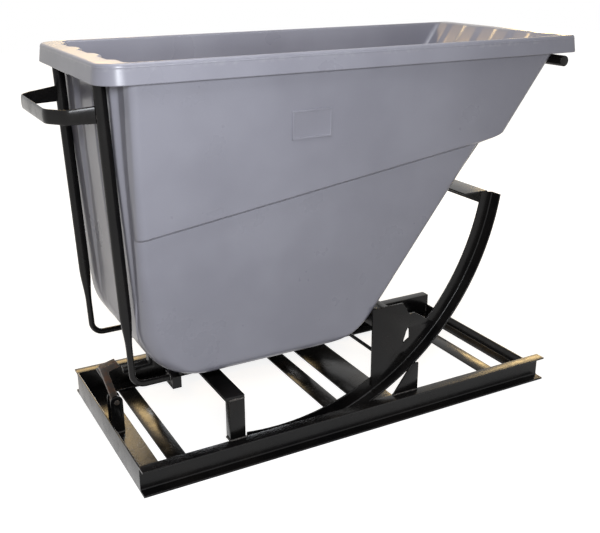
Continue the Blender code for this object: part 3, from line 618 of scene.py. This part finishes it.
def upright(label, side):
    """A flattened pipe that draws down to the bent rod at its foot."""
    y = side * TUBE_Y
    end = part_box(f"{label}_upright")[1].x
    heights = [UPRIGHT_TOP[1] - drop for drop in UPRIGHT_TOP_RINGS]
    heights += [NECK_TOP_Z - (NECK_TOP_Z - NECK_LOW_Z) * t for t in spaced(NECK_STEPS)]
    route = [at(upright_x(z), y, z) for z in heights]
    corner = at(UPRIGHT_BEND[0], y, UPRIGHT_BEND[1])
    foot = [route[-1], corner, Vector((end, y, corner.z))]
    route += bend(foot, UPRIGHT_BEND_RADIUS)[1:]
    across = Vector((0, 1, 0))
    rings = []
    for i, (before, here, after) in enumerate(neighbours(route)):
        drawn = smooth(heights[i], NECK_TOP_Z, NECK_LOW_Z) if i < len(heights) else 1.0
        eased = UPRIGHT_EDGE if i == 0 else 0.0
        depth = UPRIGHT_DEPTH + (ROD_RADIUS - UPRIGHT_DEPTH) * drawn - eased
        width = PIPE_RADIUS + (ROD_RADIUS - PIPE_RADIUS) * drawn - eased
        forward = (after - before).normalized().cross(across)
        rings.append(oval(here, across, forward, width, depth, PIPE_SIDES))
    bm = bmesh.new()
    skin(bm, rings)
    piece(f"{label}_upright_body", bm, STEEL, "hopper", "black_steel", f"{label}_upright")


def push_handle():
    """A flattened pipe on edge, bent round from one upright to the other."""
    low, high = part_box("push_handle")
    middle = (low.z + high.z) / 2
    near = at(upright_x(high.z), 0, 0).x
    back = low.x + HANDLE_THICK / 2
    wide = TUBE_Y - HANDLE_ARM_TAPER
    narrow = wide - HANDLE_CORNER[1]
    corner = back + HANDLE_CORNER[0]
    half = [(near, TUBE_Y), (corner, wide), (back, narrow)]
    corners = [Vector((x, -y, middle)) for x, y in half]
    corners += [Vector((x, y, middle)) for x, y in reversed(half)]
    route = bend(corners, HANDLE_BEND_RADIUS)
    tall = (high.z - low.z) / 2
    thin = HANDLE_THICK / 2
    outline = []
    for a in circle(HANDLE_SIDES):
        u = math.cos(a)
        v = math.sin(a)
        outline.append((thin * math.copysign(abs(u) ** HANDLE_CROWN, u),
                        tall * math.copysign(abs(v) ** HANDLE_CROWN, v)))
    rings = []
    for before, here, after in neighbours(route):
        out = (after - before).normalized().cross(Vector((0, 0, 1)))
        flare = HANDLE_FLARE * smooth(here.x, corner, near) / tall
        rings.append([here + out * u + Vector((0, 0, v + flare * max(v, 0))) for u, v in outline])
    bm = bmesh.new()
    skin(bm, rings)
    piece("push_handle_body", bm, STEEL, "hopper", "black_steel", "push_handle")


# ---- tub ---------------------------------------------------------------------------------
def step_height(x):
    """The step round the tub climbs toward the front."""
    return STEP_REAR_HEIGHT + STEP_RISE * (x - BODY_REAR_STEP)


def panel_share(x, z):
    """0 on the lower side surface and 1 on the raised panel, across a rounded border."""
    behind = PANEL_CORNER - (x - PANEL_REAR) * PANEL_REAR_STEEPNESS
    below = PANEL_CORNER - (z - step_height(x)) - PANEL_BORDER / 2
    outside = math.hypot(max(behind, 0), max(below, 0)) + min(max(behind, below), 0) - PANEL_CORNER
    return smooth(-outside, 0.0, PANEL_BORDER)


def half_width(x, z):
    """From the middle to the side wall."""
    lower = LOWER_HALF_WIDTH_BOTTOM + LOWER_SIDE_DRAFT * (z - TUB_BOTTOM)
    body = BODY_HALF_WIDTH_TOP + BODY_SIDE_DRAFT * (z - RIM_LOW)
    return lower + (body - lower) * panel_share(x, z)


def round_inset(height, radius):
    """How far a round at the bottom draws a wall in at a height above it."""
    if height >= radius:
        return 0.0
    return radius - math.sqrt(max(0.0, radius ** 2 - (radius - height) ** 2))


def rear_x(z, height):
    """The rear wall at its corners."""
    share = (z - TUB_BOTTOM) / (STEP_REAR_HEIGHT - TUB_BOTTOM)
    straight = LOWER_REAR_BOTTOM + (LOWER_REAR_STEP - LOWER_REAR_BOTTOM) * share
    return max(straight, REAR_TOP) + round_inset(height, BOTTOM_REAR_RADIUS)


def rear_radius(z):
    """The radius of the rear corners, wide below and tight above."""
    turned = smooth(z, *REAR_CORNER_TURN)
    return REAR_CORNER_BOTTOM + (REAR_CORNER_TOP - REAR_CORNER_BOTTOM) * turned


def slope_x(z):
    """The front slope below the step."""
    return SLOPE_X + (z - SLOPE_Z) / math.tan(SLOPE_ANGLE)


def round_centre():
    """The centre of the round between the bottom and the front slope."""
    x = slope_x(TUB_BOTTOM) - BOTTOM_FRONT_RADIUS * math.tan(SLOPE_ANGLE / 2)
    return x, TUB_BOTTOM + BOTTOM_FRONT_RADIUS


def front_x(x, z, inset):
    """The front surface: a round out of the bottom, the slope, and the slope beyond the step."""
    centre_x, centre_z = round_centre()
    radius = BOTTOM_FRONT_RADIUS - inset
    if z < centre_z - radius * math.cos(SLOPE_ANGLE):
        return centre_x + math.sqrt(max(0.0, radius ** 2 - (centre_z - z) ** 2))
    above = smooth(z - step_height(x), -STEP_HALF_HEIGHT, STEP_HALF_HEIGHT)
    return slope_x(z) - inset / math.sin(SLOPE_ANGLE) + STEP_FRONT * above


def rear_relief(y, z):
    """The middle of the rear wall stands out between the corners and has two flutes."""
    fade = (min(z, RIM_TOP) - TUB_BOTTOM) / (RIM_TOP - TUB_BOTTOM)
    middle = smooth(abs(y), REAR_PANEL_HALF_WIDTH + FLANK / 2, REAR_PANEL_HALF_WIDTH - FLANK / 2)
    across = abs(abs(y) - FLUTE_Y)
    flute = smooth(across, FLUTE_HALF_WIDTH + FLANK / 2, FLUTE_HALF_WIDTH - FLANK / 2)
    return fade * (FLUTE_DEPTH * flute - REAR_PANEL_OUT * middle)


def ribs(y, z):
    """How far the front slope is drawn in between its channels."""
    begin, whole = RIB_FADE
    wave = math.cos(2 * math.pi * (y - RIB_CREST_Y) / RIB_PITCH)
    return smooth(z, TUB_BOTTOM + begin, TUB_BOTTOM + whole) * RIB_DEPTH * smooth(wave, -0.5, 0.5)


def stretches(parts):
    """(name, share) pairs over each part in turn, with the end of the last one."""
    pairs = [(name, t) for name, count, power in parts for t in spaced(count, power)[:-1]]
    return [*pairs, (parts[-1][0], 1.0)]


def columns():
    """Places round the tub as (stretch, side, share), from the middle of the rear wall."""
    half = stretches(COLUMNS)
    return [(name, 1, t) for name, t in half] + [(name, -1, t) for name, t in half[-2:0:-1]]


def plan_point(column, rear, front, half, rear_corner, front_corner):
    """A column's place on a rounded rectangle."""
    stretch, side, t = column
    quarter = t * math.pi / 2
    if stretch == "rear":
        return rear, side * t * (half - rear_corner)
    if stretch == "rear_corner":
        x = rear + rear_corner * (1 - math.cos(quarter))
        return x, side * (half - rear_corner * (1 - math.sin(quarter)))
    if stretch == "side":
        start = rear + rear_corner
        return start + t * (front - front_corner - start), side * half
    if stretch == "front_corner":
        x = front - front_corner * (1 - math.sin(quarter))
        return x, side * (half - front_corner * (1 - math.cos(quarter)))
    return front, side * (1 - t) * (half - front_corner)


def wall_point(column, row, inset):
    """A point on the tub's outer surface, or on its inner one if inset by the wall.

    A row's height depends on x and x on the height, so the two are settled by turns.
    """
    x = FIRST_X
    for _ in range(SETTLE_STEPS):
        z = row_height(row, x, inset)
        height = z - TUB_BOTTOM - inset
        rear = rear_x(z, height * BOTTOM_REAR_RADIUS / (BOTTOM_REAR_RADIUS - inset)) + inset
        half = half_width(x, z) - round_inset(height, BOTTOM_SIDE_RADIUS - inset) - inset
        x, y = plan_point(column, rear, front_x(x, z, inset), half,
                          rear_radius(z) - inset, BODY_FRONT_CORNER - inset)
    if column[0] == "rear":
        x += rear_relief(y, z) * smooth(height, 0.0, BOTTOM_REAR_RADIUS)
    if column[0] == "front":
        x -= ribs(y, z)
    return at(x, y, z)


def row_height(row, x, inset):
    """Rows below the step climb towards it, and rows above it level out to the rim."""
    stretch, share = row
    step = step_height(x)
    floor = TUB_BOTTOM + inset
    if stretch == "lower":
        return floor + (step - STEP_HALF_HEIGHT - floor) * share
    if stretch == "step":
        return step + STEP_HALF_HEIGHT * (2 * share - 1)
    return step + STEP_HALF_HEIGHT + (RIM_LOW - step - STEP_HALF_HEIGHT) * share


def rim_ring(inset, z):
    """A level ring inside the rim's outer face."""
    ring = []
    for column in columns():
        x, y = plan_point(column, RIM_REAR + inset, RIM_FRONT - inset, RIM_HALF_WIDTH - inset,
                          RIM_REAR_CORNER - inset, RIM_FRONT_CORNER - inset)
        ring.append(at(x, y, z))
    return ring


def ribs_at_front(column):
    """How far the ribs reach in at the rim."""
    if column[0] != "front":
        return 0.0
    y = column[1] * (1 - column[2]) * (BODY_HALF_WIDTH_TOP - BODY_FRONT_CORNER)
    return ribs(y, RIM_LOW)


def edge_arc(radius):
    """(inset, drop) pairs over a rounded top edge, from its outer face to its top."""
    turns = [math.radians(90 * t) for t in spaced(EDGE_STEPS)]
    return [(radius * (1 - math.cos(a)), radius * (1 - math.sin(a))) for a in turns]


def top_ring(z, outward, wall=0.0):
    """A level ring of the wall above its rows, on its outer face, or on its inner one."""
    ring = []
    for column in columns():
        front = front_x(RIM_FRONT, z, wall) - ribs_at_front(column)
        x, y = plan_point(column, REAR_TOP + wall - outward, front + outward,
                          BODY_HALF_WIDTH_TOP - wall + outward,
                          REAR_CORNER_TOP - wall, BODY_FRONT_CORNER - wall)
        if column[0] == "rear":
            x += rear_relief(y, z)
        ring.append(at(x, y, z))
    return ring


def tub():
    """One closed skin: up the outside, under and over the rim, and down the inside."""
    places = columns()
    rows = stretches(ROWS)
    rings = [[wall_point(column, row, 0.0) for column in places] for row in rows]
    under = RIM_TOP - TUB_WALL
    for drop, outward in RIM_ROOT:
        rings.append(top_ring(under - drop, outward))
    for inset, drop in RIM_UNDERSIDE:
        rings.append(rim_ring(inset, under - drop))
    for inset, rise in RIM_HEM:
        rings.append(rim_ring(inset, RIM_LOW + rise))
    for inset, drop in edge_arc(RIM_OUTER_EDGE):
        rings.append(rim_ring(RIM_DRAFT + inset, RIM_TOP - drop))
    for inset, drop in reversed(edge_arc(RIM_INNER_EDGE)):
        rings.append(top_ring(RIM_TOP - drop, inset, TUB_WALL))
    rings += [[wall_point(column, row, TUB_WALL) for column in places] for row in rows[::-1]]
    bm = bmesh.new()
    skin(bm, rings)
    piece("tub_shell", bm, PLASTIC, "hopper", "grey_plastic", "tub")


def plaque():
    """A plain plate with a thin raised frame round its bare middle."""
    bm = cad_copy("tub_plaque")
    outer = min(bm.faces, key=lambda face: face.calc_center_median().y)
    normal = outer.normal.copy()
    for thickness in (PLAQUE_FRAME, PLAQUE_BEVEL):
        bmesh.ops.inset_region(bm, faces=[outer], thickness=thickness, use_even_offset=True)
    bmesh.ops.translate(bm, verts=outer.verts, vec=-normal * PLAQUE_SUNK)
    soften(bm, PLAQUE_EDGE, sharper_than=25)
    piece("tub_plaque_plate", bm, PLASTIC, "hopper", "grey_plastic", "tub_plaque")


# ---- welds -------------------------------------------------------------------------------
def ripple(i):
    """The share of a bead's full size at its step i."""
    return 1 - RIPPLE_DEPTH + RIPPLE_DEPTH * abs(math.sin(i * 1.35))


def bead(bm, start, end, radius=WELD):
    """A weld bead with its ripples, laid in a straight line."""
    length = (end - start).length
    count = max(4, round(length / RIPPLE_PITCH))
    path = []
    radii = []
    for i in range(count + 1):
        t = i / count
        wander = 1.0 + WANDER * math.sin(length * 900 + i * 0.31)
        taper = math.sqrt(max(BEAD_END, min(1.0, 1.5 * min(t, 1 - t) * length / radius)))
        path.append(start.lerp(end, t))
        radii.append(radius * ripple(i) * wander * taper)
    round_skin(bm, path, radii, WELD_SIDES)


def ring_bead(bm, centre, axis, radius):
    """A weld bead round a bar."""
    along = axis.normalized()
    u = axis.orthogonal().normalized()
    v = along.cross(u)
    rings = []
    for i, a in enumerate(circle(max(24, round(2 * math.pi * radius / RIPPLE_PITCH)))):
        out = u * math.cos(a) + v * math.sin(a)
        thick = SMALL_WELD * ripple(i)
        rings.append([centre + out * (radius + thick * math.cos(b)) + along * thick * math.sin(b)
                      for b in circle(WELD_SIDES)])
    skin(bm, rings, closed=True)


def flat_bead(bm, start, end, z, radius=WELD):
    """A level bead between two (x, y) places."""
    bead(bm, Vector((*start, z)), Vector((*end, z)), radius)


def base_welds():
    """Where the base's bars, posts, lugs, angles and latch cheeks meet the rails."""
    foot, crown = ANGLE_WELD_ENDS
    bm = bmesh.new()
    for label, side in SIDES:
        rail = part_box(f"{label}_rail")
        top = rail[1].z
        web = min(abs(rail[0].y), abs(rail[1].y)) * side
        low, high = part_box(f"{label}_saddle_post")
        for y in (low.y, high.y):
            flat_bead(bm, (low.x, y), (high.x, y), top)
            flat_bead(bm, (low.x, y), (high.x, y), high.z)
        for x in (low.x, high.x):
            flat_bead(bm, (x, low.y), (x, high.y), top)
        low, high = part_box(f"{label}_guide_lug")
        for y in (low.y, high.y):
            flat_bead(bm, (low.x, y), (high.x, y), top)
        for node in ("rear_cross_bar", "mid_cross_bar", "mid_cross_plate", "front_cross_bar"):
            low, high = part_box(node)
            flat_bead(bm, (low.x, web), (high.x, web), high.z)
        for node in ("rear_angle", "front_angle"):
            low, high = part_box(node)
            x = low.x + FLAT_THICK if node == "rear_angle" else high.x - FLAT_THICK
            bead(bm, Vector((x, web, low.z + foot)), Vector((x, web, high.z - crown)))
    for label, _ in SIDES:
        low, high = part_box(f"latch_cheek_{label}")
        for y in (low.y, high.y):
            flat_bead(bm, (low.x, y), (high.x, y), low.z, SMALL_WELD)
    piece("base_welds", bm, WELDED, "base", "black_steel")


def lap_welds(bm, label, outer):
    """A run of beads where a strut plate laps its rocker."""
    low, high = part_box(f"{label}_strut_plate")
    radius = ROCKER_RADIUS - ROCKER_WIDTH + LAP_WELD_RISE
    for i in range(LAP_WELDS):
        ends = []
        for k in (i, i + 1):
            x = low.x + (high.x - LAP_WELD_END - low.x) * k / LAP_WELDS
            z = ROLL_AXIS.z - math.sqrt(radius ** 2 - (x - ROLL_AXIS.x) ** 2)
            ends.append(Vector((x, outer, z)))
        bead(bm, *ends)


def handle_welds(bm, y):
    """Beads round one end of the push handle."""
    low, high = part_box("push_handle")
    faces = {z: upright_x(z) - PIPE_RADIUS for z in (low.z, high.z)}
    for z, x in faces.items():
        bead(bm, at(x, y - HANDLE_WELD_REACH, z), at(x, y + HANDLE_WELD_REACH, z), SMALL_WELD)
    for edge in (-HANDLE_THICK / 2, HANDLE_THICK / 2):
        ends = [at(x, y + edge, z) for z, x in faces.items()]
        bead(bm, *ends, THIN_WELD)


def hopper_welds():
    """Where the cradle's pieces meet the rockers, the tubes and one another."""
    bm = bmesh.new()
    angle_low, angle_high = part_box("lower_cross_angle")
    member_low, member_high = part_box("top_cross_member")
    cradle_low, cradle_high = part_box("cradle_cross_bar")
    rod = sum(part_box("cross_rod"), Vector()) / 2
    for label, side in SIDES:
        web = min(abs(corner.y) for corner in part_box(f"{label}_rocker")) * side
        lap_welds(bm, label, web + side * ROCKER_THICK)
        inner = min(abs(corner.y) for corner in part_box(f"{label}_strut_plate")) * side
        flat_bead(bm, (angle_low.x, inner), (angle_high.x, inner), angle_high.z)
        end = max(abs(member_low.y), abs(member_high.y)) * side
        bead(bm, Vector((member_high.x, end, member_low.z)),
             Vector((member_high.x, end, member_high.z)))
        ring_bead(bm, Vector((rod.x, web, rod.z)), Vector((0, 1, 0)), CROSS_ROD_RADIUS)
        y = side * TUBE_Y
        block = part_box(f"{label}_foot_block")
        ring_bead(bm, Vector((block[0].x, y, UPRIGHT_BEND[1])), Vector((1, 0, 0)), ROD_RADIUS)
        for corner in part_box(f"{label}_slope_tube"):
            start = (cradle_low.x, corner.y)
            flat_bead(bm, start, (cradle_low.x + CRADLE_WELD, corner.y), cradle_high.z)
        handle_welds(bm, y)
    piece("hopper_welds", bm, WELDED, "hopper", "black_steel")


# ---- studio ------------------------------------------------------------------------------
def camera():
    data = bpy.data.cameras.new("camera")
    data.lens = CAMERA_LENS
    data.sensor_width = 36.0
    item = bpy.data.objects.new("camera", data)
    bpy.context.scene.collection.objects.link(item)
    level = math.cos(CAMERA_PITCH)
    forward = Vector((math.sin(CAMERA_YAW) * level, math.cos(CAMERA_YAW) * level,
                      -math.sin(CAMERA_PITCH)))
    turn = forward.to_track_quat("-Z", "Y").to_matrix().to_4x4()
    place = Matrix.Translation(at(CAMERA_X, CAMERA_Y, CAMERA_Z))
    item.matrix_world = place @ turn @ Matrix.Rotation(CAMERA_ROLL, 4, "Z")
    bpy.context.scene.camera = item


def floor():
    bm = bmesh.new()
    bmesh.ops.create_grid(bm, x_segments=2, y_segments=2, size=FLOOR_REACH)
    mesh = bpy.data.meshes.new("floor")
    bm.to_mesh(mesh)
    bm.free()
    mesh.materials.append(white_floor())
    item = bpy.data.objects.new("floor", mesh)
    item.location = (0, 0, -FLOOR_GAP)
    bpy.context.scene.collection.objects.link(item)


def world():
    """Dim fill for the object, and plain white for whatever sees past it."""
    sky = bpy.data.worlds.new("world")
    bpy.context.scene.world = sky
    sky.use_nodes = True
    tree = sky.node_tree
    background = tree.nodes["Background"]
    colour = mixed(tree, seen_white(tree), DIM_SKY, WHITE)
    tree.links.new(colour, background.inputs["Color"])
    background.inputs["Strength"].default_value = 1.0


def lamp(name, place, target, width, height, watts, colour):
    """A soft panel lamp that faces its target."""
    data = bpy.data.lights.new(name, "AREA")
    data.shape = "RECTANGLE"
    data.size = width
    data.size_y = height
    data.energy = watts
    data.color = colour
    item = bpy.data.objects.new(name, data)
    bpy.context.scene.collection.objects.link(item)
    item.location = place
    item.rotation_mode = "QUATERNION"
    item.rotation_quaternion = (Vector(target) - Vector(place)).to_track_quat("-Z", "Y")


def lights():
    lamp("key", (-1.05, -2.35, 1.85), (-0.4, 0, 1.0), 0.8, 0.8, 25, (0.91, 0.94, 1.0))
    lamp("flash", (-1.50, -2.60, 2.0), (-0.4, 0, 1.1), 0.35, 0.35, 22, (0.93, 0.96, 1.0))
    lamp("above", (-0.55, -0.65, 3.0), (-0.1, 0.4, 1.3), 1.2, 1.2, 24, (0.96, 0.97, 1.0))
    lamp("fill_behind", (1.0, 3.4, 0.9), (0.1, 0, 0.7), 0.8, 0.8, 24, (0.90, 0.94, 1.0))
    lamp("warm_behind", (2.9, 13.0, 7.1), (-0.6, 0, 0.1), 2.8, 3.2, 260, (1.0, 0.68, 0.27))
    lamp("warm_front_end", (4.4, 2.9, 2.3), (0.8, -0.3, 0.2), 1.0, 0.8, 45, (1.0, 0.70, 0.30))
    lamp("warm_inside", (-0.9, 3.0, 3.6), (0.8, 0, 1.2), 0.8, 0.8, 30, (1.0, 0.64, 0.26))


# ---- the whole object --------------------------------------------------------------------
for label, side in SIDES:
    channel_rail(label, side)
    rocker(label, side)
    upright(label, side)
    straight_bar(f"{label}_slope_tube", "hopper")
    for node in ("track", "saddle_post", "guide_lug"):
        softened(f"{label}_{node}", "base", STEEL, "black_steel")
    for node in ("strut_plate", "runner", "foot_block"):
        softened(f"{label}_{node}", "hopper", STEEL, "black_steel")
    softened(f"latch_cheek_{label}", "base", STEEL, "black_steel")

for node in ("rear_cross_bar", "mid_cross_bar", "mid_cross_plate", "front_cross_bar", "saddle_bar"):
    softened(node, "base", STEEL, "black_steel")
angle_iron("rear_angle", "base", upright_at_front=False, flat_leg_on_top=False)
angle_iron("front_angle", "base", upright_at_front=True, flat_leg_on_top=False)
angle_iron("lower_cross_angle", "hopper", upright_at_front=True, flat_leg_on_top=True)
angle_iron("top_cross_member", "hopper", upright_at_front=True, flat_leg_on_top=True)
straight_bar("front_bar", "hopper")
straight_bar("cross_rod", "hopper")
straight_bar("latch_lever", "latch")
for node in ("cradle_cross_bar", "foot_bar", "latch_striker"):
    softened(node, "hopper", STEEL, "black_steel")
push_handle()
softened("latch_hook", "latch", WORN, "bare_steel", width=0.0025, segments=3)
softened("latch_pin", "base", WORN, "bare_steel")
softened("roll_plug", "carriage", PLASTIC, "grey_plastic", width=0.0015, segments=3)
tub()
plaque()
base_welds()
hopper_welds()

floor()
world()
lights()
camera()
bpy.context.scene.view_settings.view_transform = "Standard"
